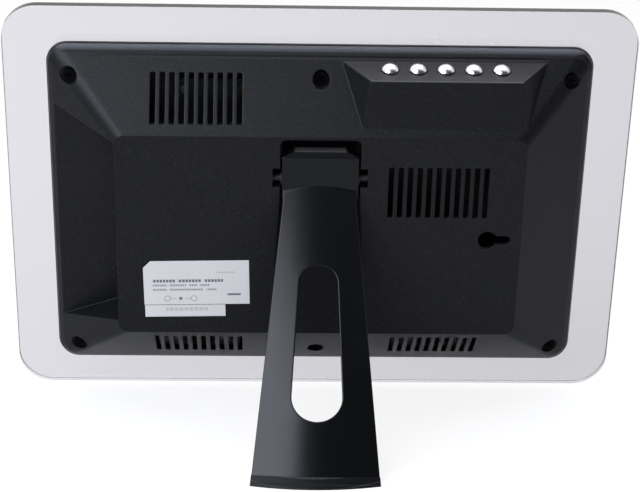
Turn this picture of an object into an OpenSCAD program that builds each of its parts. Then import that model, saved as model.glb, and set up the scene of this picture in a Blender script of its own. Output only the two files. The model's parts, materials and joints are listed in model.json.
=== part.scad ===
// Digital photo frame: a clear acrylic front plate with a black rear cover, leaning back on a
// folding stand leg. Millimetres. Everything but the leg is drawn upright in the plate's own
// frame: X along the plate, Y rearwards from the plate's rear face, Z up from its bottom edge.
// The module upright() then leans it back and centres it over the floor.

/* [Acrylic plate] */
// Width of the clear border on each side of the rear cover
plate_side = 21; // [16:0.5:28]
// Height of the clear border above and below the rear cover
plate_end = 17; // [12:0.5:22]
// Thickness of the clear plate
plate_t = 5; // [3:0.5:8]
// Corner radius of the clear plate
plate_corner_r = 17; // [6:1:24]
// Thickness of the black mask tape behind the plate
tape_t = 0.5; // [0.3:0.1:0.8]

/* [Stance] */
// Angle that the plate leans back from upright
lean = 10; // [6:1:13]
// Length of the stand leg from the pin to the tip of its foot
leg_len = 148.2; // [146:0.2:156]

/* [Front housing] */
// Thickness of the housing plate
housing_t = 1.7; // [1.4:0.1:2]
// Gap at the parting line between the housing and the rear cover
parting_gap = 0.3; // [0.2:0.1:0.4]
// Thickness of the housing's upright rim
housing_rim_t = 1.6; // [1.2:0.1:1.8]

/* [Rear cover] */
// Border of the cover beyond each side of the display
cover_side = 11.5; // [11:0.1:14]
// Border of the cover above and below the display
cover_end = 11.6; // [11:0.1:14]
// Corner radius of the cover where it meets the housing
cover_corner_r = 10; // [8:0.5:12]
// Depth of the rim where the side walls turn into the slopes
rim_d = 7; // [7:0.5:8]
// Inset of the rim from the foot of the side walls
rim_inset = 3.3; // [2.8:0.1:3.8]
// Depth of the flat raised deck
deck_d = 31; // [30.5:0.5:33]
// Width of the slopes at the sides, from the rim to the deck
side_run = 29.3; // [28:0.1:31]
// Height of the top slope, from the rim to the deck
top_run = 31.45; // [30:0.05:33]
// Height of the bottom slope, from the rim to the deck
low_run = 26.65; // [25:0.05:28]
// Corner radius of the deck
deck_corner_r = 5; // [3:0.5:6]
// Wall thickness of the cover
cover_wall = 2.2; // [1.8:0.1:2.4]

/* [Port bay] */
// Length of the bay along its inner wall
bay_len = 94.5; // [93:0.5:97]
// Length that each end wall gains from the inner wall to the rim
bay_flare = 9.5; // [8:0.5:11]
// Distance of the bay's middle below the plate's middle
bay_drop = 1; // [0:0.5:2]
// Thickness of the bay's floor
bay_floor_t = 1.8; // [1.4:0.1:1.8]

/* [Button pod] */
// Middle of the pod from the plate's middle
pod_x = -57.8; // [-60:0.2:-55]
// Width of the pod's rear face along its upper edge
pod_face_w = 70.6; // [69:0.2:72]
// Width of the pod's rear face along its lower edge
pod_low_w = 77; // [74:0.5:79]
// Width of the pod at the rim
pod_base_w = 96.4; // [95:0.2:99]
// Depth of the upper edge of the pod's rear face
pod_d = 24.7; // [24:0.1:25.4]
// Angle that the pod's rear face leans back from the plate
pod_draft = 8.7; // [6:0.1:10]
// Distance of the pod's base edge below the cover's top edge
pod_top_gap = 5.3; // [5:0.1:6]
// Forward tilt of the face that holds the buttons
pod_tilt = 12; // [9:1:14]
// Diameter of a button
button_dia = 8; // [7.4:0.1:8.4]
// Height of a button's straight side above the pod
button_rise = 0.8; // [0.4:0.1:1.2]
// Height of a button's dome above its straight side
button_dome = 2.1; // [1.6:0.1:2.6]
// Spacing of the buttons
button_pitch = 13; // [12.6:0.1:13.4]
// Number of buttons
button_count = 5; // [5:1:5]
// Distance from the pod's base edge to the row of buttons
button_up = 7.1; // [6.8:0.1:8]
// Travel of a button
button_travel = 0.6; // [0.3:0.1:0.8]
// Radial gap round a button
button_gap = 0.25; // [0.2:0.05:0.3]

/* [Vents] */
// Width of a vent slot
vent_w = 2.5; // [2:0.1:2.8]
// Spacing of the vent slots
vent_pitch = 4.49; // [4.3:0.01:4.6]
// Corner radius of a vent slot
vent_corner = 0.6; // [0.3:0.1:1]
// Height of the upper vents on the top slope
top_vent_h = 20; // [17:0.5:21]
// Height of the vents on the deck
deck_vent_h = 26; // [22:0.5:28]
// Height of the lower vents on the bottom slope
low_vent_h = 16.4; // [14:0.2:17]
// Distance of the vent groups from the plate's middle
vent_x = 58.2; // [57:0.2:60]
// Middle of the deck vents from the plate's middle
deck_vent_x = 55.8; // [54:0.2:56.4]
// Distance of the deck vents from the deck's top edge
deck_vent_gap = 14.85; // [13:0.05:17]

/* [Keyhole] */
// Distance of the keyhole's head from the deck's side edge
key_inset = 16; // [14:0.2:20]
// Distance of the keyhole below the deck's middle
key_drop = 0.4; // [0:0.1:3]
// Diameter of the keyhole's head
key_head = 9; // [8:0.1:10]
// Width of the keyhole's slot
key_slot = 4.5; // [4.2:0.1:5]
// Length of the keyhole's slot from the head's centre
key_len = 11; // [9:0.5:12]

/* [Cover screws] */
// Distance of the outer cover screws from the cover's side edges
screw_side = 11.2; // [11:0.1:12]
// Distance of the screw rows from the cover's top and bottom edges
screw_end = 12.7; // [12.3:0.1:13.5]
// Diameter of the screw wells
well_dia = 8; // [7.4:0.1:8.4]
// Wall of the screw wells
well_wall = 1.4; // [1.2:0.1:1.6]
// Depth of the wells' floor from the plate
well_floor_d = 9.2; // [9:0.1:9.6]
// Diameter of the cover screws
screw_dia = 3; // [2.6:0.1:3]
// Running clearance round a screw or pin, radial
fit_gap = 0.05; // [0.03:0.01:0.08]

/* [Hinge] */
// Distance of the hinge pin below the deck's top edge
pin_drop = 22.95; // [22.5:0.05:25]
// Depth of the hinge pin from the plate
pin_d = 25.5; // [25.2:0.1:25.8]
// Diameter of the hinge pin
pin_dia = 3.8; // [3:0.1:4]
// Width of the hinge block
block_w = 35.8; // [35:0.1:36]
// Height of the hinge block above the pin
block_up = 15.1; // [14:0.1:15.4]
// Depth of the hinge block's rear face from the plate
block_d = 31.3; // [31:0.1:32.4]
// Chamfer along the top of the hinge block
block_chamfer = 2.3; // [1.6:0.1:2.8]
// Width that each top corner of the hinge block loses to its chamfer
block_corner = 5.2; // [3:0.1:5.4]
// Gap between the hinge block and its pocket
pocket_gap = 1; // [0.9:0.1:1.1]
// Height of the top of the pocket above the pin
pocket_up = 21.6; // [20:0.2:22]
// Distance of the pocket's lower end below the pin
pocket_down = 44.3; // [44:0.1:46]
// Depth of the pocket's floor round the hinge from the plate
pocket_d = 17.5; // [17:0.1:17.8]
// Width of the notches that show the hinge pin
notch_w = 3.4; // [3:0.1:4.4]
// Height of the notches that show the hinge pin
notch_h = 9.6; // [8:0.1:10]
// Angle that the leg folds through
fold_travel = 31; // [28:1:31]

/* [Stand leg] */
// Thickness of the leg
leg_t = 2.4; // [2:0.1:2.6]
// Radius of the leg's crowned surface across its width, beside the pin
leg_crown_r = 85; // [80:1:90]
// Radius of the leg's crowned surface across its width, at its foot
leg_crown_foot_r = 128; // [120:1:136]
// Height of the leg's crown above the pin
leg_crown_h = 3; // [2.8:0.1:3.2]
// Half width of the leg beside the pin
leg_half_top = 17.4; // [17:0.1:17.6]
// Length of the leg's straight neck below the pin
leg_neck = 14; // [12:0.5:16]
// Half width of the leg at its foot
leg_half_foot = 29.6; // [28:0.1:31]
// Angle that the leg runs off square to its pin
leg_skew = 0.8; // [0:0.1:1]
// Distance of the top of the leg's slot from the pin
slot_top = 43.6; // [41:0.1:46]
// Distance of the bottom of the leg's slot from the pin
slot_bottom = 117.4; // [110:0.2:120]
// Radius of the slot's upper end
slot_top_r = 9; // [8:0.1:10]
// Radius of the slot's lower end
slot_bottom_r = 11.6; // [11:0.1:13]
// Height of the rubber foot
foot_h = 6; // [5:0.5:8]
// Height of the thicker sole at the bottom of the foot
foot_sole_h = 2.6; // [2:0.2:4]
// Thickness of the rubber over the leg
foot_t = 0.6; // [0.5:0.1:1]
// How far the rubber stands out past the sides of the leg
foot_side = 0.2; // [0.1:0.1:0.4]

/* [Display] */
// Width of the display module
lcd_w = 235; // [233:0.2:235.4]
// Height of the display module
lcd_h = 145.8; // [144:0.2:146.2]
// Thickness of the glass cell
glass_t = 1.4; // [1.2:0.1:1.5]
// Thickness of the light guide and its films
guide_t = 2.5; // [2.2:0.1:2.6]
// Thickness of the steel tray
tray_t = 0.5; // [0.3:0.1:0.5]
// Width of the display's frame round the picture
lcd_bezel = 6.5; // [6.3:0.1:8]

/* [Inside] */
// Thickness of the steel chassis plate
chassis_t = 1; // [0.8:0.1:1.2]
// Depth of the main board's near face
board_d = 11; // [10.6:0.1:11.4]
// Thickness of the circuit boards
board_t = 1.6; // [1.2:0.2:1.6]
// Width of the main board
board_w = 64; // [62:0.5:65]
// Height of the main board
board_h = 88; // [86:0.5:90]
// Diameter of the board screws
board_screw_dia = 2.5; // [2.2:0.1:2.6]
// Diameter of the speakers' cones
speaker_dia = 19; // [17:0.5:20]
// Thickness of the sheet steel of the hinge bracket
bracket_t = 1.8; // [1.4:0.1:2]
// Diameter of the wires inside
wire_dia = 2; // [1.4:0.1:2.2]

/* [Hidden] */
$fn = 48;
// Overlap that keeps a cut's faces from coinciding
eps = 0.1;
// How far a cutting block or a drill reaches, past every wall that it meets
reach = 60;
drill = 40;
// Segments in a quarter circle of a lofted corner
corner_steps = 8;

cover_w = lcd_w + 2 * cover_side;
cover_h = lcd_h + 2 * cover_end;
plate_w = cover_w + 2 * plate_side;
plate_h = cover_h + 2 * plate_end;
picture_w = lcd_w - 2 * lcd_bezel;
picture_h = lcd_h - 2 * lcd_bezel;
mid_z = plate_h / 2;
rim_w = cover_w - 2 * rim_inset;
rim_h = cover_h - 2 * rim_inset;
rim_low = mid_z - rim_h / 2;
rim_high = mid_z + rim_h / 2;
deck_w = rim_w - 2 * side_run;
deck_low = rim_low + low_run;
deck_high = rim_high - top_run;
deck_h = deck_high - deck_low;
deck_z = (deck_high + deck_low) / 2;
rim_r = cover_corner_r - 0.9 * rim_inset;
cover_d0 = tape_t + housing_t + parting_gap;
slope_rise = deck_d - rim_d;
low_slope = atan2(slope_rise, low_run);
skin_d = deck_d - cover_wall;
screw_x = cover_w / 2 - screw_side;
screw_z = cover_h / 2 - screw_end;
pin_z = deck_high - pin_drop;

// Places inside
seat_gap = 0.2;
rim_seat = 4.9;
chassis_d0 = tape_t + glass_t + guide_t + tray_t + 0.1;
chassis_d1 = chassis_d0 + chassis_t;
chassis_edge = rim_seat + housing_rim_t + 0.4;
chassis_boss_z = lcd_h / 2 + 2.5;
chassis_screw_xs = [-90, -30, 30, 90];
bay_z = mid_z - bay_drop;
bay_x = deck_w / 2;
board_x1 = bay_x - cover_wall - 0.6;
board_x0 = board_x1 - board_w;
board_z1 = bay_z + 51.35;
board_z0 = board_z1 - board_h;
board_d1 = board_d + board_t;
socket_x1 = bay_x - 0.2;

// The leg's own frame has the pin at its origin, the leg along -Z and its crown towards +Y
pin_up = pin_z * cos(lean) - pin_d * sin(lean);
pin_back = pin_z * sin(lean) + pin_d * cos(lean);
leg_tilt = atan2(leg_len, leg_crown_h) - asin(pin_up / norm([leg_len, leg_crown_h]));
leg_open = leg_tilt + lean;
foot_out = leg_crown_h + foot_t;
foot_reach = (pin_up + foot_out * sin(leg_tilt)) / cos(leg_tilt);
back_y = pin_back + foot_out * cos(leg_tilt) + foot_reach * sin(leg_tilt);
front_y = -plate_t * cos(lean);
shift_y = -(back_y + front_y) / 2;

module upright() {
    translate([0, shift_y, 0])
        rotate([-lean, 0, 0])
            children();
}

module leg_frame() {
    upright()
        translate([0, pin_d, pin_z])
            rotate([leg_open, 0, 0])
                children();
}

// A rounded rectangle in the drawing plane
module round_rect(w, h, r) {
    square([w - 2 * r, h], center = true);
    square([w, h - 2 * r], center = true);
    for (x = [-1, 1], z = [-1, 1])
        translate([x * (w / 2 - r), z * (h / 2 - r)])
            circle(r = r);
}

// Extrudes a drawing of the XZ plane from depth d0 to depth d1
module slab(d0, d1, z = 0) {
    translate([0, d1, z])
        rotate([90, 0, 0])
            linear_extrude(d1 - d0)
                children();
}

// A box from its low corner to its high corner
module block(low, high) {
    translate(low)
        cube(high - low);
}

// A cylinder along Y from depth d0 to depth d1
module post(x, z, r, d0, d1) {
    translate([x, d1, z])
        rotate([90, 0, 0])
            cylinder(r = r, h = d1 - d0);
}

// A cylinder along X from x0 to x1
module rod_x(x0, x1, r, d, z) {
    translate([x0, d, z])
        rotate([0, 90, 0])
            cylinder(r = r, h = x1 - x0);
}

function unit(v) = v / norm(v);

// A wire swept through the points of a path, never parallel to the direction "up"
module wire(path, r, up = [0, 1, 0]) {
    last = len(path) - 1;
    sides = 8;
    loft([
        for (k = [0 : last])
            let (ahead = unit(path[min(k + 1, last)] - path[max(k, 1) - 1]),
                 u = unit(cross(ahead, up)),
                 v = cross(u, ahead))
                [for (i = [0 : sides - 1])
                    path[k] + r * (cos(i * 360 / sides) * u + sin(i * 360 / sides) * v)]
    ], true);
}

// A pan-head screw whose head sits at depth d and whose shank runs towards the plate
module pan_screw(x, z, dia, shank, d) {
    head_r = dia * 0.95;
    head_h = dia * 0.6;
    difference() {
        union() {
            post(x, z, dia / 2, d - shank, d + eps);
            post(x, z, head_r, d, d + head_h);
        }
        for (turn = [0, 90])
            translate([x, d + head_h, z])
                rotate([0, turn, 0])
                    cube([dia * 1.1, head_h, dia * 0.2], center = true);
    }
}

// The points of a rounded rectangle at depth d, clockwise seen from the rear
function ring(w, h, r, d, x, z) = [
    for (q = [0 : 3], i = [0 : corner_steps])
        let (a = 90 * (q + i / corner_steps),
             sx = (q == 0 || q == 3) ? 1 : -1,
             sz = q < 2 ? 1 : -1)
            [x + sx * (w / 2 - r) + r * cos(a), d, z + sz * (h / 2 - r) + r * sin(a)]
];

// A solid through rings of equally many points, clockwise seen from the last ring
module loft(rings, split = false) {
    n = len(rings[0]);
    last = len(rings) - 1;
    points = [for (one = rings) each one];
    near = [[for (i = [n - 1 : -1 : 0]) i]];
    far = [[for (i = [0 : n - 1]) last * n + i]];
    sides = [
        for (k = [0 : last - 1], i = [0 : n - 1])
            let (a = k * n + i, b = k * n + (i + 1) % n, c = b + n, d = a + n)
                each (split ? [[a, b, c], [a, c, d]] : [[a, b, c, d]])
    ];
    polyhedron(points = points, faces = concat(near, sides, far), convexity = 4);
}

// ---------------------------------------------------------------- plate and housing

module acrylic_plate() {
    color([0.88, 0.92, 0.95, 0.4])
        upright()
            slab(-plate_t, 0, mid_z)
                round_rect(plate_w, plate_h, plate_corner_r);
}

module mask_tape() {
    color([0.03, 0.03, 0.03])
        upright()
            slab(0, tape_t, mid_z)
                difference() {
                    round_rect(cover_w - 1.6, cover_h - 1.6, cover_corner_r - 0.8);
                    square([picture_w, picture_h], center = true);
                }
}

module housing_outline(inset) {
    round_rect(cover_w - 2 * inset, cover_h - 2 * inset, cover_corner_r - 0.8 * inset);
}

module front_housing() {
    color([0.06, 0.06, 0.07])
        upright()
            difference() {
                union() {
                    slab(tape_t, tape_t + housing_t, mid_z)
                        housing_outline(0);
                    slab(tape_t, cover_d0, mid_z)
                        housing_outline(0.8);
                    slab(tape_t, chassis_d0, mid_z)
                        difference() {
                            housing_outline(rim_seat);
                            housing_outline(rim_seat + housing_rim_t);
                        }
                    for (x = chassis_screw_xs, side = [-1, 1])
                        post(x, mid_z + side * chassis_boss_z, 2.1, tape_t, chassis_d0);
                }
                slab(0, chassis_d0 + eps, mid_z)
                    square([lcd_w + 0.8, lcd_h + 0.8], center = true);
                for (x = chassis_screw_xs, side = [-1, 1])
                    post(x, mid_z + side * chassis_boss_z, 1 + fit_gap, tape_t + 0.8, 20);
            }
}

// ---------------------------------------------------------------- display

lamp_r = 0.9;
lamp_z = mid_z + lcd_h / 2 - tray_t - 1.6;
guide_w = lcd_w - 2 * tray_t - 0.6;
lamp_d = tape_t + glass_t + guide_t / 2;
lamp_wire_x = -18.5;
ribbon_w = 20;
ribbon_x = (board_x0 + board_x1) / 2;

module lcd_glass() {
    color([0.1, 0.12, 0.14])
        upright()
            slab(tape_t, tape_t + glass_t, mid_z)
                square([guide_w, lcd_h - 2 * tray_t - 0.6], center = true);
}

module light_guide() {
    d0 = tape_t + glass_t;
    top = lamp_z - lamp_r - 0.3;
    low = mid_z - lcd_h / 2 + tray_t + 0.3;
    color([0.92, 0.93, 0.9])
        upright()
            block([-guide_w / 2, d0, low], [guide_w / 2, d0 + guide_t, top]);
}

module backlight_lamp() {
    color([0.95, 0.95, 1])
        upright()
            rod_x(-guide_w / 2 + 2, guide_w / 2 - 2, lamp_r, lamp_d, lamp_z);
}

module lcd_tray() {
    color([0.7, 0.71, 0.73])
        upright()
            difference() {
                slab(tape_t, chassis_d0 - 0.1, mid_z)
                    square([lcd_w, lcd_h], center = true);
                slab(0, chassis_d0 - 0.1 - tray_t, mid_z)
                    square([guide_w + 0.2, lcd_h - 2 * tray_t - 0.4], center = true);
                block([ribbon_x - ribbon_w / 2 - 2, 0, mid_z - 4],
                      [ribbon_x + ribbon_w / 2 + 2, 20, mid_z - 1]);
                rod_x(lamp_wire_x - 2.5, lamp_wire_x + 2.5, wire_dia / 2 + 0.4, chassis_d0, lamp_z);
            }
}

// ---------------------------------------------------------------- chassis

boss_r = 3.5;
boss_d = well_floor_d - 1.6;

module chassis_outline() {
    difference() {
        round_rect(cover_w - 2 * chassis_edge, cover_h - 2 * chassis_edge, 3);
        translate([0, bay_z - mid_z])
            bay_outline(cover_wall + 0.6);
    }
}

module chassis_plate() {
    color([0.66, 0.67, 0.69])
        upright()
            difference() {
                union() {
                    slab(chassis_d0, chassis_d1, mid_z)
                        chassis_outline();
                    for (x = [-screw_x, 0, screw_x], side = [-1, 1])
                        post(x, mid_z + side * screw_z, boss_r, chassis_d0, boss_d);
                }
                for (x = [-screw_x, 0, screw_x], side = [-1, 1])
                    post(x, mid_z + side * screw_z, screw_dia / 2 + fit_gap, 0, 20);
                for (x = chassis_screw_xs, side = [-1, 1])
                    post(x, mid_z + side * chassis_boss_z, 1.2, 0, 20);
                block([ribbon_x - ribbon_w / 2 - 4, 0, mid_z - 6],
                      [ribbon_x + ribbon_w / 2 + 4, 20, mid_z + 8]);
                block([lamp_wire_x - 5, 0, lamp_z - 3], [lamp_wire_x + 5, 20, lamp_z + 2]);
            }
}

module chassis_screws() {
    color([0.75, 0.75, 0.77])
        upright()
            for (x = chassis_screw_xs, side = [-1, 1])
                pan_screw(x, mid_z + side * chassis_boss_z, 2, chassis_d1 - tape_t - 1.2, chassis_d1);
}

// ---------------------------------------------------------------- rear cover

// The bay seen from the rear, grown outwards by a margin, about the bay's middle
module bay_outline(grow) {
    half = bay_len / 2;
    far_x = cover_w / 2 + 12;
    flare = bay_flare * (far_x - bay_x) / (rim_w / 2 - bay_x);
    polygon([
        [bay_x - grow, -half - grow], [far_x, -half - flare - grow],
        [far_x, half + flare + grow], [bay_x - grow, half + grow]
    ]);
}

module cover_outer() {
    knee_d = cover_d0 + 0.47 * (rim_d - cover_d0);
    loft([
        ring(cover_w - 0.4, cover_h - 0.4, cover_corner_r - 0.2, cover_d0, 0, mid_z),
        ring(cover_w - 0.6 * rim_inset, cover_h - 0.6 * rim_inset, cover_corner_r - 0.9, knee_d,
             0, mid_z),
        ring(rim_w, rim_h, rim_r, rim_d, 0, mid_z),
        ring(deck_w, deck_h, deck_corner_r, deck_d, 0, deck_z)
    ]);
}

module cover_inner() {
    w = cover_w - 5.2;
    h = cover_h - 5.2;
    loft([
        ring(w, h, cover_corner_r - 2.2, cover_d0 - 1, 0, mid_z),
        ring(rim_w - 1.6 * cover_wall, rim_h - 1.6 * cover_wall, rim_r - 1.2,
             rim_d - 0.63 * cover_wall, 0, mid_z),
        ring(deck_w - 0.75 * cover_wall, deck_h - 0.75 * cover_wall, deck_corner_r - 0.8,
             skin_d, 0, deck_z)
    ]);
}

// The pod is a wedge on the top slope. Its faces are drawn in by a wall for its hollow
pod_base_d = rim_d + 1.5;
pod_base_z = mid_z + cover_h / 2 - pod_top_gap;
pod_low_z = deck_high + 3.8;

pod_edge_z = pod_base_z - (pod_d - pod_base_d) * tan(pod_tilt);

function pod_face_d(z) = pod_d + (pod_edge_z - z) * tan(pod_draft);
function pod_face_half(z) =
    pod_face_w / 2 + (pod_edge_z - z) * (pod_low_w - pod_face_w) / 2 / (pod_edge_z - pod_low_z);

// The pod runs down from its tilted top, where a plane cuts it off
module pod_shape(wall) {
    spread = (pod_base_w / 2 - pod_face_half(pod_base_z)) / (pod_face_d(pod_base_z) - pod_base_d);
    near_d = rim_d - 2;
    function section(z) =
        let (far_d = pod_face_d(z) - wall,
             half = pod_face_half(z) + wall * (spread - norm([1, spread])),
             near_half = half + (far_d - near_d) * spread)
            [[pod_x + half, far_d, z], [pod_x + near_half, near_d, z],
             [pod_x - near_half, near_d, z], [pod_x - half, far_d, z]];
    intersection() {
        loft([section(pod_low_z - 2), section(pod_base_z + 4)]);
        translate([pod_x - pod_base_w, pod_base_d, pod_base_z])
            rotate([-pod_tilt, 0, 0])
                translate([0, -reach, -reach - wall])
                    cube([2 * pod_base_w, 2 * reach, reach]);
    }
}

module pod_frame() {
    translate([pod_x, pod_base_d, pod_base_z])
        rotate([-pod_tilt, 0, 0])
            translate([0, button_up, 0])
                children();
}

// A point in the pod's frame, given in the plate's frame
function pod_at(x, y, z) =
    [pod_x + x, pod_base_d + (button_up + y) * cos(pod_tilt) + z * sin(pod_tilt),
     pod_base_z - (button_up + y) * sin(pod_tilt) + z * cos(pod_tilt)];

function button_at(i) = (i - (button_count - 1) / 2) * button_pitch;

board_depth = 10.4;
pod_post_x = 33.4;

// A row of vent slots, seen from the rear
module vent_row(count, h) {
    for (i = [0 : count - 1])
        translate([(i - (count - 1) / 2) * vent_pitch, 0])
            round_rect(vent_w, h, vent_corner);
}

top_vent_z = (rim_high + deck_high) / 2 - 1.4;
low_vent_z = (rim_low + deck_low) / 2 + 1;
deck_vent_z = deck_high - deck_vent_gap - deck_vent_h / 2;
key_x = deck_w / 2 - key_inset;
key_z = deck_z - key_drop;

module vents() {
    slab(cover_d0, reach, top_vent_z)
        translate([vent_x, 0])
            vent_row(10, top_vent_h);
    slab(skin_d - 5, reach, deck_vent_z)
        translate([-deck_vent_x, 0])
            vent_row(11, deck_vent_h);
    for (side = [-1, 1])
        slab(cover_d0, reach, low_vent_z)
            translate([side * (vent_x - 0.4), 0])
                vent_row(10, low_vent_h);
}

module keyhole() {
    post(-key_x, key_z, key_head / 2, skin_d - 5, reach);
    post(-key_x - key_len + key_slot / 2, key_z, key_slot / 2, skin_d - 5, reach);
    block([-key_x - key_len + key_slot / 2, skin_d - 5, key_z - key_slot / 2],
          [-key_x, reach, key_z + key_slot / 2]);
}

// The pocket for the hinge block and the folded leg, drawn from the side and from the rear
block_half = block_w / 2;
pocket_half = block_half + pocket_gap;
flap_d = block_d - 7.5;
well_z0 = pin_z - 10.3;
pocket_z0 = pin_z - pocket_down;
pocket_z1 = pin_z + pocket_up;
ramp_d = deck_d - (well_z0 - pocket_z0) * tan(leg_open - fold_travel);

function leg_half(r) =
    leg_half_top + (leg_half_foot - leg_half_top) * max(r - leg_neck, 0) / (leg_len - leg_neck);

pocket_half_low = leg_half(pocket_down) + pocket_down * tan(leg_skew) + 0.6;

module pocket_plan(grow) {
    r = 3;
    polygon([
        [-pocket_half_low - grow, pocket_z0 - grow], [pocket_half_low + grow, pocket_z0 - grow],
        [pocket_half + grow, well_z0], [pocket_half + grow, pocket_z1 - r],
        [-pocket_half - grow, pocket_z1 - r], [-pocket_half - grow, well_z0]
    ]);
    translate([0, pocket_z1 - r - 2])
        round_rect(2 * (pocket_half + grow), 2 * (r + 2 + grow), r + grow);
}

// What is cut out in front of the line drawn from the side, lowered by a margin
module pocket_cut(grow) {
    intersection() {
        slab(0, reach)
            pocket_plan(grow);
        translate([-reach, 0, 0])
            rotate([90, 0, 90])
                linear_extrude(2 * reach)
                    polygon([
                        [reach, pocket_z0 - 4 - grow], [deck_d + 1, pocket_z0 - 4 - grow],
                        [deck_d - grow, pocket_z0 - grow], [ramp_d - grow, well_z0 - grow],
                        [pocket_d - grow, well_z0 - grow], [pocket_d - grow, pocket_z1 + 5],
                        [reach, pocket_z1 + 5]
                    ]);
    }
}

notch_z = pin_z + 2.2;

module pin_notches() {
    for (side = [-1, 1])
        translate([side * (pocket_half + notch_w / 2 - eps), 0, 0])
            block([-notch_w / 2 - eps, pin_d - 4, notch_z - notch_h / 2],
                  [notch_w / 2 + eps, reach, notch_z + notch_h / 2]);
}

module screw_wells(r, d0) {
    for (x = [-screw_x, 0, screw_x], side = [-1, 1])
        post(x, mid_z + side * screw_z, r, d0, drill);
}

// Sockets seen from the side: height of the middle, length along the bay, thickness
card_z = bay_z + 30;
usb_z = bay_z + 4;
mini_z = bay_z - 15;
dc_z = bay_z - 33;
card_size = [28, 3.5];
usb_size = [13.2, 5.8];
mini_size = [7.8, 4];
dc_size = [9, 11];
dc_bore_r = 3.15;

module port_opening(z, size, margin) {
    block([bay_x - cover_wall - 1, board_d1 - margin, z - size[0] / 2 - margin],
          [bay_x + 1, board_d1 + size[1] + margin, z + size[0] / 2 + margin]);
}

module rear_cover() {
    color([0.05, 0.05, 0.055])
        upright()
            difference() {
                union() {
                    difference() {
                        union() {
                            cover_outer();
                            pod_shape(0);
                        }
                        cover_inner();
                        pod_shape(2);
                    }
                    intersection() {
                        cover_outer();
                        union() {
                            slab(rim_d - bay_floor_t, reach, bay_z)
                                bay_outline(cover_wall);
                            pocket_cut(cover_wall);
                            screw_wells(well_dia / 2 + well_wall, boss_d);
                        }
                    }
                    for (side = [-1, 1])
                        pod_frame()
                            translate([side * pod_post_x, 0, -board_depth])
                                cylinder(r = 2, h = board_depth - 1.5);
                }
                slab(rim_d, reach, bay_z)
                    bay_outline(0);
                pocket_cut(0);
                pin_notches();
                screw_wells(well_dia / 2, well_floor_d);
                screw_wells(screw_dia / 2 + 0.2, 0);
                vents();
                keyhole();
                port_opening(card_z, card_size, 0.15);
                port_opening(usb_z, usb_size, 0.15);
                port_opening(mini_z, mini_size, 0.15);
                rod_x(bay_x - cover_wall - 1, bay_x + 1, dc_bore_r + 0.6,
                      board_d1 + dc_size[1] / 2, dc_z);
                for (i = [0 : button_count - 1])
                    pod_frame()
                        translate([button_at(i), 0, -5])
                            cylinder(r = button_dia / 2 + button_gap, h = 12);
                for (side = [-1, 1])
                    pod_frame()
                        translate([side * pod_post_x, 0, -board_depth - 1])
                            cylinder(r = 0.9 + fit_gap, h = 6);
            }
}

module cover_screws() {
    color([0.3, 0.3, 0.32])
        upright()
            for (x = [-screw_x, 0, screw_x], side = [-1, 1])
                pan_screw(x, mid_z + side * screw_z, screw_dia, well_floor_d - chassis_d0,
                          well_floor_d);
}

// ---------------------------------------------------------------- main board

standoff_spots = [
    [board_x0 + 4, board_z0 + 4], [board_x1 - 22, board_z0 + 4],
    [board_x0 + 4, board_z1 - 4], [board_x1 - 12, board_z1 - 4]
];

module main_board() {
    color([0.05, 0.3, 0.16])
        upright()
            difference() {
                block([board_x0, board_d, board_z0], [board_x1, board_d1, board_z1]);
                for (spot = standoff_spots)
                    post(spot[0], spot[1], board_screw_dia / 2 + 0.15, 0, drill);
            }
}

module board_standoffs() {
    color([0.8, 0.7, 0.4])
        upright()
            for (spot = standoff_spots)
                difference() {
                    post(spot[0], spot[1], board_screw_dia / 2 + 1.3, chassis_d1, board_d);
                    post(spot[0], spot[1], board_screw_dia / 2 + fit_gap, chassis_d1 + 1, drill);
                }
}

module board_screws() {
    color([0.75, 0.75, 0.77])
        upright()
            for (spot = standoff_spots)
                pan_screw(spot[0], spot[1], board_screw_dia, board_t + 3, board_d1);
}

cpu_x = board_x0 + 22;
cpu_z = board_z0 + 54;
cpu_half = 10;
cpu_h = 1.6;

module processor() {
    color([0.08, 0.08, 0.09])
        upright()
            block([cpu_x - cpu_half, board_d1, cpu_z - cpu_half],
                  [cpu_x + cpu_half, board_d1 + cpu_h, cpu_z + cpu_half]);
}

module heat_sink() {
    fins = 6;
    base_d = board_d1 + cpu_h;
    fin_pitch = (2 * cpu_half - 1.2) / (fins - 1);
    color([0.72, 0.73, 0.75])
        upright()
            union() {
                block([cpu_x - cpu_half, base_d, cpu_z - cpu_half],
                      [cpu_x + cpu_half, base_d + 1.5, cpu_z + cpu_half]);
                for (i = [0 : fins - 1])
                    block([cpu_x - cpu_half + i * fin_pitch, base_d, cpu_z - cpu_half],
                          [cpu_x - cpu_half + i * fin_pitch + 1.2, base_d + 7,
                           cpu_z + cpu_half]);
            }
}

// Each chip: place on the board, size along X, size along Z, height
chips = [
    [8, 30, 18, 8, 1.1], [8, 16, 12, 12, 1.4], [26, 26, 9, 9, 1.2],
    [26, 10, 10, 6, 1.5], [8, 76, 14, 7, 1.1]
];

module board_chips() {
    color([0.1, 0.1, 0.11])
        upright()
            for (chip = chips)
                block([board_x0 + chip[0], board_d1, board_z0 + chip[1]],
                      [board_x0 + chip[0] + chip[2], board_d1 + chip[4],
                       board_z0 + chip[1] + chip[3]]);
}

module capacitors() {
    color([0.78, 0.79, 0.8])
        upright()
            for (spot = [[32, 6], [38, 37], [38, 47], [26, 72]])
                post(board_x0 + spot[0], board_z0 + spot[1], 3.1, board_d1, board_d1 + 6.5);
}

module coil() {
    color([0.2, 0.2, 0.21])
        upright()
            difference() {
                post(board_x0 + 40, board_z0 + 26, 4.5, board_d1, board_d1 + 4);
                post(board_x0 + 40, board_z0 + 26, 1.5, board_d1 + 2, board_d1 + 5);
            }
}

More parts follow.
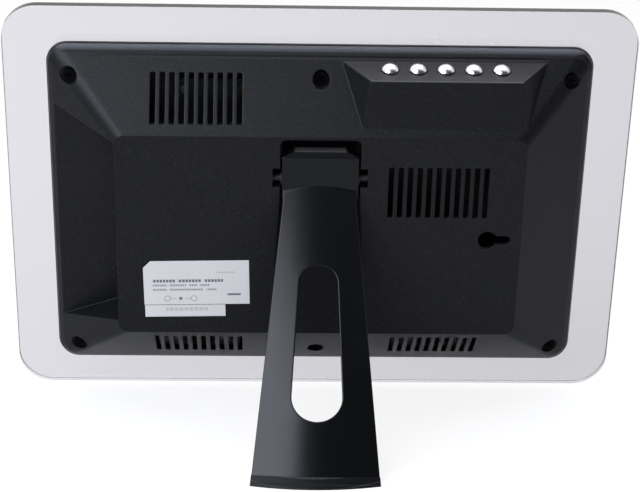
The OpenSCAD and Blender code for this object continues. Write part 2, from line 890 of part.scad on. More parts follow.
module card_slot() {
    color([0.7, 0.71, 0.72])
        upright()
            difference() {
                block([socket_x1 - 27, board_d1, card_z - card_size[0] / 2],
                      [socket_x1, board_d1 + card_size[1], card_z + card_size[0] / 2]);
                block([socket_x1 - 24, board_d1 + 0.5, card_z - card_size[0] / 2 + 1.7],
                      [socket_x1 + 1, board_d1 + card_size[1] - 0.5,
                       card_z + card_size[0] / 2 - 1.7]);
            }
}

module usb_socket() {
    color([0.76, 0.77, 0.78])
        upright()
            union() {
                difference() {
                    block([socket_x1 - 14, board_d1, usb_z - usb_size[0] / 2],
                          [socket_x1, board_d1 + usb_size[1], usb_z + usb_size[0] / 2]);
                    block([socket_x1 - 12, board_d1 + 0.4, usb_z - usb_size[0] / 2 + 0.4],
                          [socket_x1 + 1, board_d1 + usb_size[1] - 0.4,
                           usb_z + usb_size[0] / 2 - 0.4]);
                }
                block([socket_x1 - 12.5, board_d1 + 3.1, usb_z - 5.6],
                      [socket_x1 - 1.5, board_d1 + 5, usb_z + 5.6]);
            }
}

module mini_usb_socket() {
    color([0.76, 0.77, 0.78])
        upright()
            union() {
                difference() {
                    block([socket_x1 - 9, board_d1, mini_z - mini_size[0] / 2],
                          [socket_x1, board_d1 + mini_size[1], mini_z + mini_size[0] / 2]);
                    block([socket_x1 - 7, board_d1 + 0.4, mini_z - mini_size[0] / 2 + 0.4],
                          [socket_x1 + 1, board_d1 + mini_size[1] - 0.4,
                           mini_z + mini_size[0] / 2 - 0.4]);
                }
                block([socket_x1 - 7.5, board_d1 + 1.6, mini_z - 2.6],
                      [socket_x1 - 1, board_d1 + 2.4, mini_z + 2.6]);
            }
}

module dc_socket() {
    d = board_d1 + dc_size[1] / 2;
    color([0.08, 0.08, 0.09])
        upright()
            union() {
                difference() {
                    union() {
                        block([socket_x1 - 14, board_d1, dc_z - dc_size[0] / 2],
                              [bay_x - cover_wall - 0.1, board_d1 + dc_size[1],
                               dc_z + dc_size[0] / 2]);
                        rod_x(socket_x1 - 4, socket_x1, dc_bore_r + 0.5, d, dc_z);
                    }
                    rod_x(socket_x1 - 9.5, socket_x1 + 1, dc_bore_r, d, dc_z);
                }
                rod_x(socket_x1 - 10, socket_x1 - 1, 1, d, dc_z);
            }
}

// ---------------------------------------------------------------- backlight inverter

inverter_x0 = 9;
inverter_x1 = 68;
inverter_z0 = lamp_z - 10.8;
inverter_d = chassis_d1 + 2.4;
inverter_screw_xs = [inverter_x0 + 4, inverter_x1 - 4];

module inverter_board() {
    color([0.12, 0.36, 0.2])
        upright()
            difference() {
                union() {
                    block([inverter_x0, inverter_d, inverter_z0],
                          [inverter_x1, inverter_d + 1.2, inverter_z0 + 10]);
                    for (x = inverter_screw_xs)
                        post(x, inverter_z0 + 5, 2.2, chassis_d1, inverter_d + eps);
                }
                for (x = inverter_screw_xs)
                    post(x, inverter_z0 + 5, 1 + fit_gap, chassis_d1 + 0.6, drill);
            }
}

module inverter_screws() {
    color([0.75, 0.75, 0.77])
        upright()
            for (x = inverter_screw_xs)
                pan_screw(x, inverter_z0 + 5, 2, 2.8, inverter_d + 1.2);
}

module inverter_transformer() {
    d = inverter_d + 1.2;
    color([0.85, 0.7, 0.2])
        upright()
            union() {
                block([inverter_x0 + 12, d, inverter_z0 + 0.6],
                      [inverter_x0 + 28, d + 2.6, inverter_z0 + 8.4]);
                block([inverter_x0 + 10, d, inverter_z0 + 1.6],
                      [inverter_x0 + 30, d + 1.6, inverter_z0 + 7.4]);
            }
}

// ---------------------------------------------------------------- speakers

// A frame on the inside of the bottom slope: X along the slope, Y up the slope, Z inwards
module slope_frame(side) {
    translate([side * (vent_x - 0.4), rim_d, rim_low])
        rotate([90 - low_slope, 0, 0])
            translate([0, speaker_seat, cover_wall + seat_gap])
                children();
}

speaker_seat = 19.6;
speaker_h = 6.4;
speaker_half = speaker_dia / 2 + 1.2;

// A point on a speaker's axis, at a height above its mounting face
function speaker_at(side, h) =
    let (in = cover_wall + seat_gap + h)
        [side * (vent_x - 0.4),
         rim_d + speaker_seat * sin(low_slope) - in * cos(low_slope),
         rim_low + speaker_seat * cos(low_slope) + in * sin(low_slope)];

module speaker(side) {
    upright()
        slope_frame(side)
            difference() {
                union() {
                    translate([-20, -speaker_half, 0])
                        cube([40, 2 * speaker_half, 1.6]);
                    cylinder(r = speaker_dia / 2, h = 4.4);
                    cylinder(r = 6.5, h = speaker_h);
                }
                translate([0, 0, -1])
                    cylinder(r = speaker_dia / 2 - 1, h = 4.6);
                for (x = [-16.5, 16.5])
                    translate([x, 0, -1])
                        cylinder(r = 1.2, h = 4);
            }
}

module speaker_left() {
    color([0.15, 0.15, 0.16])
        speaker(-1);
}

module speaker_right() {
    color([0.15, 0.15, 0.16])
        speaker(1);
}

module speaker_cone(side) {
    r = speaker_dia / 2 - 1.05;
    color([0.3, 0.3, 0.3])
        upright()
            slope_frame(side)
                translate([0, 0, 0.4])
                    difference() {
                        union() {
                            cylinder(r = r, h = 0.5);
                            translate([0, 0, 0.5])
                                cylinder(r1 = r, r2 = 3.2, h = 2.6);
                        }
                        translate([0, 0, -0.1])
                            cylinder(r1 = r - 0.6, r2 = 2.4, h = 2.6);
                    }
}

module speaker_cone_left() {
    speaker_cone(-1);
}

module speaker_cone_right() {
    speaker_cone(1);
}

// ---------------------------------------------------------------- buttons

pod_board_w = 72;
pod_board_h = 12;
switch_h = 3.5;
plunger_h = 1;

module button_board() {
    color([0.05, 0.3, 0.16])
        upright()
            pod_frame()
                difference() {
                    translate([-pod_board_w / 2, -pod_board_h / 2, -board_depth - 1.2])
                        cube([pod_board_w, pod_board_h, 1.2]);
                    for (side = [-1, 1])
                        translate([side * pod_post_x, 0, -board_depth - 3])
                            cylinder(r = 1.1, h = 5);
                }
}

module button_switches() {
    color([0.2, 0.2, 0.22])
        upright()
            pod_frame()
                for (i = [0 : button_count - 1])
                    translate([button_at(i), 0, -board_depth])
                        union() {
                            translate([-3, -3, 0])
                                cube([6, 6, switch_h]);
                            cylinder(r = 1.7, h = switch_h + plunger_h);
                        }
}

module button_board_screws() {
    color([0.75, 0.75, 0.77])
        upright()
            pod_frame()
                for (side = [-1, 1])
                    translate([side * pod_post_x, 0, -board_depth - 1.2])
                        union() {
                            cylinder(r = 0.9, h = 5);
                            translate([0, 0, -1.1])
                                cylinder(r = 1.8, h = 1.1);
                        }
}

// A button: a domed cap, a flange under the pod's wall and a stem over its switch
module button(i) {
    r = button_dia / 2;
    under = 2.25;
    dome_r = (r * r + button_dome * button_dome) / (2 * button_dome);
    stem_end = -board_depth + switch_h + plunger_h + button_travel + 0.15;
    color([0.8, 0.81, 0.83])
        upright()
            pod_frame()
                translate([button_at(i), 0, 0])
                    union() {
                        intersection() {
                            translate([0, 0, button_rise + button_dome - dome_r])
                                sphere(r = dome_r);
                            translate([0, 0, -under])
                                cylinder(r = r, h = under + button_rise + button_dome + 1);
                        }
                        translate([0, 0, -under - 0.8])
                            cylinder(r = r + 0.9, h = 0.8);
                        translate([0, 0, stem_end])
                            cylinder(r = 1.6, h = -under - stem_end);
                    }
}

module button_1() {
    button(0);
}

module button_2() {
    button(1);
}

module button_3() {
    button(2);
}

module button_4() {
    button(3);
}

module button_5() {
    button(4);
}

// ---------------------------------------------------------------- hinge

ear_in = pocket_half + notch_w + 0.2;
ear_out = ear_in + bracket_t;
bracket_spots = [[-20, -9], [20, -9], [-20, 11], [20, 11]];

module hinge_bracket() {
    base_d1 = chassis_d1 + bracket_t;
    top_d = skin_d - 0.3;
    color([0.6, 0.61, 0.63])
        upright()
            difference() {
                union() {
                    block([-ear_out, chassis_d1, pin_z - 13], [ear_out, base_d1, pin_z + 15]);
                    for (side = [-1, 1])
                        translate([side * (ear_in + bracket_t / 2), 0, 0])
                            block([-bracket_t / 2, chassis_d1, pin_z - 7],
                                  [bracket_t / 2, top_d, pin_z + 7]);
                }
                rod_x(-drill, drill, pin_dia / 2 + fit_gap, pin_d, pin_z);
                for (spot = bracket_spots)
                    post(spot[0], pin_z + spot[1], 1.25 + fit_gap, 0, drill);
            }
}

module bracket_screws() {
    color([0.75, 0.75, 0.77])
        upright()
            for (spot = bracket_spots)
                pan_screw(spot[0], pin_z + spot[1], 2.5, bracket_t, chassis_d1 + bracket_t);
}

module hinge_pin() {
    half = ear_out + 1.4;
    color([0.8, 0.81, 0.83])
        upright()
            difference() {
                rod_x(-half, half, pin_dia / 2, pin_d, pin_z);
                for (side = [-1, 1])
                    translate([side * (ear_out + 0.45), pin_d, pin_z])
                        rotate([0, 90, 0])
                            difference() {
                                cylinder(r = pin_dia, h = 0.6, center = true);
                                cylinder(r = pin_dia / 2 - 0.4, h = 1, center = true);
                            }
            }
}

module pin_clips() {
    color([0.55, 0.55, 0.57])
        upright()
            for (side = [-1, 1])
                translate([side * (ear_out + 0.45), pin_d, pin_z])
                    rotate([0, 90, 0])
                        difference() {
                            cylinder(r = pin_dia / 2 + 1.1, h = 0.5, center = true);
                            cylinder(r = pin_dia / 2 - 0.35, h = 1, center = true);
                            translate([0, -pin_dia / 4, -1])
                                cube([2 * pin_dia, pin_dia / 2, 2]);
                        }
}

module friction_washers() {
    washer_t = pocket_gap - 0.4;
    color([0.7, 0.7, 0.72])
        upright()
            for (side = [-1, 1])
                translate([side * (block_half + pocket_gap / 2), pin_d, pin_z])
                    rotate([0, 90, 0])
                        difference() {
                            cylinder(r = pin_dia / 2 + 1.8, h = washer_t, center = true);
                            cylinder(r = pin_dia / 2 + fit_gap, h = 2, center = true);
                        }
}

// ---------------------------------------------------------------- stand leg

module leg_plan(end, margin) {
    neck = leg_half_top + margin;
    foot = leg_half(end) + margin;
    polygon([
        [-neck, 0], [neck, 0], [neck, -leg_neck], [foot, -end], [-foot, -end], [-neck, -leg_neck]
    ]);
}

// Turns the leg's sheet and slot about the middle of the pin
module skewed() {
    rotate([0, -leg_skew, 0])
        children();
}

// The crown is part of a cone, so the leg is flatter at its foot. The cone leans by its own
// half angle, and its rear line runs straight down the leg.
leg_flare = atan((leg_crown_foot_r - leg_crown_r) / leg_len);

module crown_cone(out, low, high) {
    pin_r = leg_crown_r * cos(leg_flare);
    out_r = pin_r + out / cos(leg_flare);
    translate([0, leg_crown_h, 0])
        rotate([-leg_flare, 0, 0])
            translate([0, -pin_r, -low])
                cylinder(r1 = out_r + low * tan(leg_flare), r2 = out_r - high * tan(leg_flare),
                         h = low + high, $fn = 120);
}

// The crowned sheet between two cones, with a plan outline
module crowned_sheet(out, thick, end, margin) {
    intersection() {
        difference() {
            crown_cone(out, end + 20, 20);
            crown_cone(out - thick, end + 30, 30);
        }
        slab(-reach, reach)
            leg_plan(end, margin);
    }
}

module leg_slot() {
    top_c = slot_top + slot_top_r;
    low_c = slot_bottom - slot_bottom_r;
    slab(-reach, reach)
        union() {
            translate([0, -top_c])
                circle(r = slot_top_r);
            translate([0, -low_c])
                circle(r = slot_bottom_r);
            polygon([
                [-slot_top_r, -top_c], [slot_top_r, -top_c],
                [slot_bottom_r, -low_c], [-slot_bottom_r, -low_c]
            ]);
        }
}

// The hinge block, drawn from the side as it lies when the leg is open
module hinge_block() {
    face = block_d - pin_d;
    flap = flap_d - pin_d;
    rotate([-leg_open, 0, 0])
        intersection() {
            translate([-block_half, 0, 0])
                rotate([90, 0, 90])
                    linear_extrude(block_w)
                        polygon([
                            [-5, -4.5], [1, -8], [face, -8], [face, block_up - block_chamfer],
                            [face - block_chamfer, block_up], [flap, block_up], [flap, 9],
                            [-5, 7.5]
                        ]);
            slab(-20, 20)
                polygon([
                    [-block_half, -20], [block_half, -20], [block_half, block_up - block_chamfer],
                    [block_half - block_corner, block_up], [block_half - block_corner, 20],
                    [-block_half + block_corner, 20], [-block_half + block_corner, block_up],
                    [-block_half, block_up - block_chamfer]
                ]);
        }
}

// Everything more than a given height above the floor when the leg is open
module above_floor(rise) {
    rotate([-leg_tilt, 0, 0])
        translate([-reach, -leg_len, rise - pin_up])
            cube([2 * reach, 2 * leg_len, 2 * leg_len]);
}

sole_t = 1.6;
sheet_end = foot_reach + 12;

module leg_sheet() {
    intersection() {
        skewed()
            crowned_sheet(0, leg_t, sheet_end, 0);
        above_floor(sole_t);
    }
}

module stand_leg() {
    color([0.07, 0.07, 0.08])
        leg_frame()
            difference() {
                union() {
                    leg_sheet();
                    hinge_block();
                }
                skewed()
                    leg_slot();
                rod_x(-drill, drill, pin_dia / 2 + fit_gap, 0, 0);
            }
}

// Everything on the leg below a line that lies between square to it and level with the floor
module below_line(rise) {
    translate([0, leg_crown_h, rise - foot_reach])
        rotate([-leg_tilt / 2, 0, 0])
            translate([-reach, -reach, -reach])
                cube([2 * reach, 2 * reach, reach]);
}

// The rubber has two steps, and the lower one stands further out
module foot_pad() {
    color([0.03, 0.03, 0.03])
        leg_frame()
            difference() {
                intersection() {
                    skewed()
                        for (step = [0.5, 1])
                            intersection() {
                                crowned_sheet(step * foot_t, leg_t + 2 * step * foot_t,
                                              sheet_end, foot_side);
                                below_line(step < 1 ? foot_h : foot_sole_h);
                            }
                    above_floor(0);
                }
                leg_sheet();
            }
}

// ---------------------------------------------------------------- cables and labels

module lcd_ribbon() {
    t = 0.3;
    d1 = board_d - t;
    color([0.85, 0.6, 0.25])
        upright()
            translate([ribbon_x - ribbon_w / 2, 0, mid_z])
                rotate([90, 0, 90])
                    linear_extrude(ribbon_w)
                        polygon([
                            [chassis_d0 - 0.6, -3], [chassis_d0 - 0.6, -3 + t],
                            [chassis_d0 + 0.6, 1], [d1, 7], [d1, 16], [d1 + t, 16],
                            [d1 + t, 7 - t], [chassis_d0 + 0.6 + t, 1 - t],
                            [chassis_d0 - 0.6 + t, -3]
                        ]);
}

// Each bundle of wires leaves one piece square to its face and meets the next one in the same way
module button_cable() {
    x = board_x0 + 12;
    z = board_z1 - 2;
    color([0.7, 0.7, 0.7])
        upright()
            wire([pod_at(28, 0, -board_depth - 1.2), pod_at(28, 0, -board_depth - 4),
                  [pod_x + 36, board_d1 + 1, board_z1 + 7],
                  [board_x0 - 25, board_d1 + 0.5, board_z1 + 3],
                  [board_x0, board_d1 + 2.4, board_z1 + 0.5], [x - 4, board_d1 + 3.8, z + 0.4],
                  [x, board_d1 + 3, z], [x, board_d1, z]],
                 wire_dia / 2, [0, 1, 1]);
}

module speaker_cable() {
    z = board_z0 + 3;
    color([0.6, 0.1, 0.1])
        upright()
            union() {
                wire([speaker_at(-1, speaker_h), speaker_at(-1, speaker_h + 2),
                      [-30, 11, deck_low - 3], [20, 11, deck_low + 3],
                      [board_x0 + 9, board_d1 + 1.6, board_z0 - 3],
                      [board_x0 + 14.4, board_d1 + 3, z], [board_x0 + 14.4, board_d1, z]],
                     wire_dia / 2, [0, 1, 1]);
                wire([speaker_at(1, speaker_h), speaker_at(1, speaker_h + 2),
                      [board_x0 + 25, 11.5, board_z0 - 10],
                      [board_x0 + 22, board_d1 + 2, board_z0 - 3],
                      [board_x0 + 20.4, board_d1 + 3, z], [board_x0 + 20.4, board_d1, z]],
                     wire_dia / 2, [1, 0, 0]);
            }
}

module lamp_cable() {
    x = inverter_x0 + 1.5;
    z = inverter_z0 + 8.3;
    d = inverter_d + 1.2;
    color([0.85, 0.85, 0.85])
        upright()
            wire([[x, d, z], [x, d + 2, z], [inverter_x0 - 5, d + 1.2, z - 5.3],
                  [inverter_x0 - 15, d, z - 5], [lamp_wire_x + 5, d - 0.8, lamp_z - 3],
                  [lamp_wire_x, chassis_d1 + 1.8, lamp_z], [lamp_wire_x, lamp_d + lamp_r, lamp_z]],
                 wire_dia / 2, [0, 0, 1]);
}

label_t = 0.15;
label_w = 50.8;
label_x1 = deck_w / 2 - 12.8;
label_x0 = label_x1 - label_w;
label_z0 = deck_low + 15.75;
label_z1 = label_z0 + 23.7;
strip_x0 = label_x0 + 11.8;
strip_z0 = label_z0 - 6.65;
label_turn = 1.2;

// A sticker laid a little askew on the deck
module sticker() {
    middle = [(label_x0 + label_x1) / 2, label_z0];
    slab(deck_d, deck_d + label_t)
        translate(middle)
            rotate(-label_turn)
                translate(-middle)
                    children();
}

module main_label() {
    cut = 3.6;
    color([0.82, 0.82, 0.83])
        upright()
            sticker()
                polygon([
                    [label_x0, label_z0], [label_x1, label_z0], [label_x1, label_z1 - cut],
                    [label_x1 - cut, label_z1], [label_x0, label_z1]
                ]);
}

module strip_label() {
    color([0.82, 0.82, 0.83])
        upright()
            sticker()
                translate([strip_x0, strip_z0])
                    square([label_x1 - 0.2 - strip_x0, label_z0 - 0.3 - strip_z0]);
}

acrylic_plate();
mask_tape();
front_housing();
lcd_glass();
light_guide();
backlight_lamp();
lcd_tray();
chassis_plate();
chassis_screws();
rear_cover();
cover_screws();
main_board();
board_standoffs();
board_screws();
processor();
heat_sink();
board_chips();
capacitors();
coil();
card_slot();
usb_socket();
mini_usb_socket();
dc_socket();
inverter_board();
inverter_transformer();
inverter_screws();
speaker_left();
speaker_right();
speaker_cone_left();
speaker_cone_right();
button_board();
button_switches();
button_board_screws();
button_1();
button_2();
button_3();
button_4();
button_5();
hinge_bracket();
bracket_screws();
hinge_pin();
pin_clips();
friction_washers();
stand_leg();
foot_pad();
lcd_ribbon();
button_cable();
speaker_cable();
lamp_cable();
main_label();
strip_label();
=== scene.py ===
# %% [markdown]
# # A digital photo frame, seen from behind
# The real thing is a clear acrylic plate with a black moulded cover behind it. A slotted leg
# props it up. The solids, joints and sizes come from the imported frame, so this script only
# dresses them: finishes, printed stickers, painted highlights and shade, light and a camera.
# Nothing that dresses them may make the object grow.

# %% Load the frame
import json
import math
import bpy
import numpy as np
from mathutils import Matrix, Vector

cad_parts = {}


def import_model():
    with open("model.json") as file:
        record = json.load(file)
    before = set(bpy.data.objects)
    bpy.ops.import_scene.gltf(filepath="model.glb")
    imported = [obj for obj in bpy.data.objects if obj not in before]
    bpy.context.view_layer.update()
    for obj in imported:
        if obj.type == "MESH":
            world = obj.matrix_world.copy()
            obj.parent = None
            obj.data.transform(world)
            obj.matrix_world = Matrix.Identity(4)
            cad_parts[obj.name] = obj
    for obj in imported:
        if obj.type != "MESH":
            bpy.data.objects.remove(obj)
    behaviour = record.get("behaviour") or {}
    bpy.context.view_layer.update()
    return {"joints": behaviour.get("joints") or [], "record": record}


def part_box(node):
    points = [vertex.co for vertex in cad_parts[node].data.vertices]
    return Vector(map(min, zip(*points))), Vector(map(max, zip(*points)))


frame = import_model()
record = frame["record"]

# %% [markdown]
# The plate leans back. Every feature of the cover is square to the plate and not to the floor,
# so one pair of axes that leans with it makes every later number simple: X along the plate, D
# rearwards out of its rear face, H up it from its lower edge, all in millimetres.
#
# The lean is read from the axis of the keyhole. The box of a leaning plate mixes its height
# with its thickness, and two equations in those two unknowns separate them again.

# %% Work out the leaning axes
MM = 0.001
keyhole = next(m for m in record["mounts"] if m["name"] == "keyhole")
LEAN = -math.asin(keyhole["axis"][2])
plate_low, plate_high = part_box("acrylic_plate")
across = np.array([[math.sin(LEAN), math.cos(LEAN)], [math.cos(LEAN), math.sin(LEAN)]])
spans = np.array([plate_high[1] - plate_low[1], plate_high[2] - plate_low[2]])
PLATE_H, PLATE_T = np.linalg.solve(across, spans) / MM
PLATE_W = (plate_high[0] - plate_low[0]) / MM
FOOT_Y = plate_low[1] / MM + PLATE_T * math.cos(LEAN)
plate_size = [round(float(side), 2) for side in (PLATE_W, PLATE_H, PLATE_T)]
print("lean", round(math.degrees(LEAN), 2), "degrees; plate", plate_size, "mm")


def plate_spots(node):
    """A node's vertices along, out of and up the plate, in millimetres.

    Y and Z are turned back by the lean: out is y cos - z sin, and up is y sin + z cos.
    """
    x, y, z = np.array([v.co for v in bpy.data.objects[node].data.vertices]).T / MM
    y = y - FOOT_Y
    out = y * math.cos(LEAN) - z * math.sin(LEAN)
    up = y * math.sin(LEAN) + z * math.cos(LEAN)
    return np.stack([x, out, up], axis=1)


# %% [markdown]
# Shader maths reads best as plain expressions. One small class wraps a socket and overloads
# the operators, so `1 - mask` adds its Math node by itself.

# %% Sockets that do sums
class Sock:
    """A socket that can be added, multiplied and compared like a number."""

    def __init__(self, maker, socket):
        self.maker = maker
        self.socket = socket

    def math(self, operation, *others):
        """A Math node with this socket first and the others after it."""
        values = {i: v for i, v in enumerate((self, *others))}
        return self.maker.node("ShaderNodeMath", {"operation": operation}, values)

    def __add__(self, other):
        return self.math("ADD", other)

    def __radd__(self, other):
        return self.math("ADD", other)

    def __sub__(self, other):
        return self.math("SUBTRACT", other)

    def __rsub__(self, other):
        return self.maker.number(other).math("SUBTRACT", self)

    def __mul__(self, other):
        return self.math("MULTIPLY", other)

    def __rmul__(self, other):
        return self.math("MULTIPLY", other)

    def __truediv__(self, other):
        return self.math("DIVIDE", other)

    def __gt__(self, other):
        return self.math("GREATER_THAN", other)

    def __lt__(self, other):
        return self.math("LESS_THAN", other)

    def size(self):
        return self.math("ABSOLUTE")

    def lift(self, low, high):
        """0 below low, 1 above high, and smooth between them."""
        return self.maker.node(
            "ShaderNodeMapRange",
            {"interpolation_type": "SMOOTHSTEP"},
            {"Value": self, "From Min": low, "From Max": high},
        )


# %% [markdown]
# A second class writes the node tree itself. One method adds any node: its settings are set
# first, because some of them decide which sockets there are, and then each socket gets a value
# or a link. The helpers below it give the object's own coordinates, a noise measured per
# millimetre, a relief, and a Principled shader whose sockets are named in the call.
#
# The edges of a moulding are never knife sharp, and they catch the light. A Bevel modifier could
# round them, but on a thin shell full of slots it folds large faces over the openings. The Bevel
# node only turns the normals near an edge, so the meshes of the solids stay as they are.

# %% A writer of node trees
EDGE_SAMPLES = 8


class Maker:
    """Writes one node tree."""

    def __init__(self, tree):
        self.tree = tree
        self.tree.nodes.clear()

    def node(self, kind, settings=None, values=None, out=0):
        """Any node, with its settings and the values or links of its sockets."""
        made = self.tree.nodes.new(kind)
        for key, value in (settings or {}).items():
            setattr(made, key, value)
        for key, value in (values or {}).items():
            self.feed(made.inputs[key], value)
        return Sock(self, made.outputs[out]) if len(made.outputs) else None

    def feed(self, socket, value):
        """Link a socket, or set its value. A colour of three numbers gets an alpha of 1."""
        if isinstance(value, Sock):
            self.tree.links.new(value.socket, socket)
        elif hasattr(socket.default_value, "__len__"):
            wanted = len(socket.default_value)
            socket.default_value = (tuple(value) + (1.0,))[:wanted]
        else:
            socket.default_value = value

    def number(self, value):
        """A constant as a socket, for a sum that starts with a plain number."""
        made = self.tree.nodes.new("ShaderNodeValue")
        made.outputs[0].default_value = value
        return Sock(self, made.outputs[0])

    def place(self):
        """Object coordinates: metres in the row frame, because each piece sits at the origin."""
        return self.node("ShaderNodeTexCoord", out="Object")

    def plate_axes(self):
        """Along, out of and up the plate, in millimetres."""
        foot = (0, -FOOT_Y * MM, 0)
        moved = self.node("ShaderNodeVectorMath", {"operation": "ADD"}, {0: self.place(), 1: foot})
        turned = self.node(
            "ShaderNodeMapping",
            {"vector_type": "POINT"},
            {"Vector": moved, "Rotation": (LEAN, 0, 0), "Scale": (1 / MM,) * 3},
        )
        parts = {"Vector": turned}
        return [self.node("ShaderNodeSeparateXYZ", None, parts, out=i) for i in range(3)]

    def noise(self, per_mm, detail=2.0, rough=0.5):
        """Soft noise with about per_mm bumps in a millimetre."""
        values = {
            "Vector": self.place(),
            "Scale": per_mm / MM,
            "Detail": detail,
            "Roughness": rough,
        }
        return self.node("ShaderNodeTexNoise", None, values)

    def mix(self, share, first, second):
        """From the first colour to the second. A Mix node keeps colours at these sockets."""
        values = {0: share, 6: first, 7: second}
        return self.node("ShaderNodeMix", {"data_type": "RGBA"}, values, out=2)

    def bump(self, height, depth_mm, strength=1.0, edge_mm=0.0):
        """A fine relief, and where edge_mm is given, sharp edges that shine as if rounded."""
        values = {"Height": height, "Distance": depth_mm * MM, "Strength": strength}
        if edge_mm:
            radius = {"Radius": edge_mm * MM}
            values["Normal"] = self.node("ShaderNodeBevel", {"samples": EDGE_SAMPLES}, radius)
        return self.node("ShaderNodeBump", None, values)

    def surface(self, **values):
        """One Principled shader and the output. Names are its sockets, with _ for a space."""
        named = {key.replace("_", " "): value for key, value in values.items()}
        shader = self.node("ShaderNodeBsdfPrincipled", None, named)
        self.node("ShaderNodeOutputMaterial", None, {"Surface": shader})


def material(name, write):
    """A new material, whose nodes the function write puts into it."""
    made = bpy.data.materials.new(name)
    made.use_nodes = True
    write(Maker(made.node_tree))
    return made


# %% [markdown]
# The cover is one black moulding with a fine eroded texture. Up close it is not one black: pale
# specks catch the light, a painted highlight runs as a paler band along the ledge at the top,
# another painted highlight is a thin pale line along the outermost edge of the button pod, and a
# shallow groove runs under the ledge. The last three are masks made from the height up the plate,
# counted from the cover's top and from the pod's edge.
# Both of those are measured on the solid itself.

# %% Find the cover's landmarks
# The pod is all that stands out this far, this near to the cover's top edge.
POD_DROP = 12.0
POD_OUT = 20.0
cover_spots = plate_spots("rear_cover")
COVER_TOP = cover_spots[:, 2].max()
near_top = cover_spots[:, 2] > COVER_TOP - POD_DROP
pod_spots = cover_spots[near_top & (cover_spots[:, 1] > POD_OUT)]
POD_EDGE_OUT, POD_EDGE_UP = pod_spots[pod_spots[:, 1].argmax(), 1:]
POD_LEFT, POD_RIGHT = pod_spots[:, 0].max(), pod_spots[:, 0].min()
print("cover top", COVER_TOP.round(1), "pod edge", POD_EDGE_OUT.round(1), POD_EDGE_UP.round(1))

# %% Textured black for the cover
# Where the cover's two painted highlights lie: a paler band along the ledge at the top, and a thin
# pale line along the pod's outer edge.
PAINTED_LEDGE_FROM, PAINTED_LEDGE_FULL = 2.4, 1.0
PAINTED_EDGE_HALF = 0.35
PAINTED_EDGE_DEEP = 0.6
SEAM_DROP = 3.9
SEAM_HALF = 0.9
SEAM_FADE, SEAM_END = 100.0, 112.0


def textured_black(m):
    """Black with pale specks, a painted highlight along the ledge and along the pod's edge, and a
    groove under the ledge.
    """
    grain = m.noise(1.3, 3.0, 0.6)
    cloud = m.noise(0.03, 2.0)
    speckle = m.noise(0.9, 2.0, 0.8).lift(0.54, 0.70)
    x, d, h = m.plate_axes()
    # Painted highlight: a paler band along the ledge at the top.
    painted_ledge_highlight = h.lift(COVER_TOP - PAINTED_LEDGE_FROM, COVER_TOP - PAINTED_LEDGE_FULL) * (0.5 + grain)
    # Painted highlight: a thin pale line along the outermost edge of the pod.
    on_edge = ((h - POD_EDGE_UP).size() < PAINTED_EDGE_HALF) * (d > POD_EDGE_OUT - PAINTED_EDGE_DEEP)
    painted_pod_edge_highlight = on_edge * (x < POD_LEFT) * (x > POD_RIGHT) * (0.4 + grain)
    groove = 1 - (h - (COVER_TOP - SEAM_DROP)).size().lift(0.0, SEAM_HALF)
    seam = groove * (1 - x.size().lift(SEAM_FADE, SEAM_END))
    black = m.mix(cloud, (0.0028, 0.0030, 0.0036), (0.0046, 0.0048, 0.0056))
    black = m.mix(speckle, black, (0.013, 0.014, 0.017))
    # The two painted highlights lighten the black here.
    black = m.mix(painted_ledge_highlight, black, (0.050, 0.053, 0.062))
    m.surface(
        Base_Color=m.mix(painted_pod_edge_highlight, black, (0.045, 0.045, 0.055)),
        Roughness=0.36 + 0.1 * grain,
        Specular_IOR_Level=0.22,
        Normal=m.bump(grain * 0.09 - seam * 0.4, 1.0, 0.6, edge_mm=0.7),
    )


# %% [markdown]
# The housing and the leg are smoother black mouldings. The leg is the glossier, so it carries a
# clear bright side and a dark side. The top edge of its hinge block carries a painted highlight, a
# pale strip in the leg's colour. The height of that edge is counted up the plate from the hinge's
# axis.

# %% Smooth blacks for the housing and the leg
hinge = next(j for j in frame["joints"] if j["name"] == "leg_hinge")
_, pin_y, pin_z = (c / MM for c in hinge["pos_m"])
PIN_UP = (pin_y - FOOT_Y) * math.sin(LEAN) + pin_z * math.cos(LEAN)
BLOCK_UP = 15.1
BLOCK_EDGE = 13.0
# How far down the hinge block's top edge the painted highlight reaches.
PAINTED_BLOCK_DEEP = 0.2
print("hinge axis", round(float(PIN_UP), 2), "mm up the plate")


def smooth_black(m):
    """An even black with a very fine grain."""
    grain = m.noise(1.8, 3.0, 0.6)
    m.surface(
        Base_Color=m.mix(m.noise(0.04, 2.0), (0.0022, 0.0026, 0.0030), (0.0032, 0.0036, 0.0042)),
        Roughness=0.24 + 0.1 * grain,
        Specular_IOR_Level=0.14,
        Normal=m.bump(grain, 0.025, 0.5),
    )


def leg_plastic(m):
    """Glossier than the cover, with a painted highlight on the hinge block's top edge."""
    grain = m.noise(0.9, 4.0, 0.7)
    x, _, h = m.plate_axes()
    # Painted highlight: a pale strip along the top edge of the hinge block.
    on_top = h > PIN_UP + BLOCK_UP - PAINTED_BLOCK_DEEP
    painted_block_highlight = on_top * (1 - x.size().lift(BLOCK_EDGE - 2.0, BLOCK_EDGE))
    black = m.mix(m.noise(0.04, 2.0), (0.0016, 0.0019, 0.0022), (0.0026, 0.0030, 0.0034))
    m.surface(
        Base_Color=m.mix(painted_block_highlight, black, (0.055, 0.057, 0.058)),
        Roughness=0.16 + 0.09 * grain,
        Specular_IOR_Level=0.25,
        Normal=m.bump(grain, 0.03, 0.4, edge_mm=1.0),
    )


# %% [markdown]
# The plate is polished acrylic. Real transmission at its true index makes the bright and dark
# lines in its edges by itself. On top of that come painted shade, a tint that is a little greyer
# towards one lower corner, a faint haze, and dust specks, which are the centres of Voronoi cells
# that a coarse noise thins out. Light that only passes through to cast a shadow takes a plain
# Transparent shader instead, so the plate doesn't darken the floor like a solid.

# %% Clear acrylic
SPECK_PER_MM = 0.08
SPECK_SIZE = 0.035


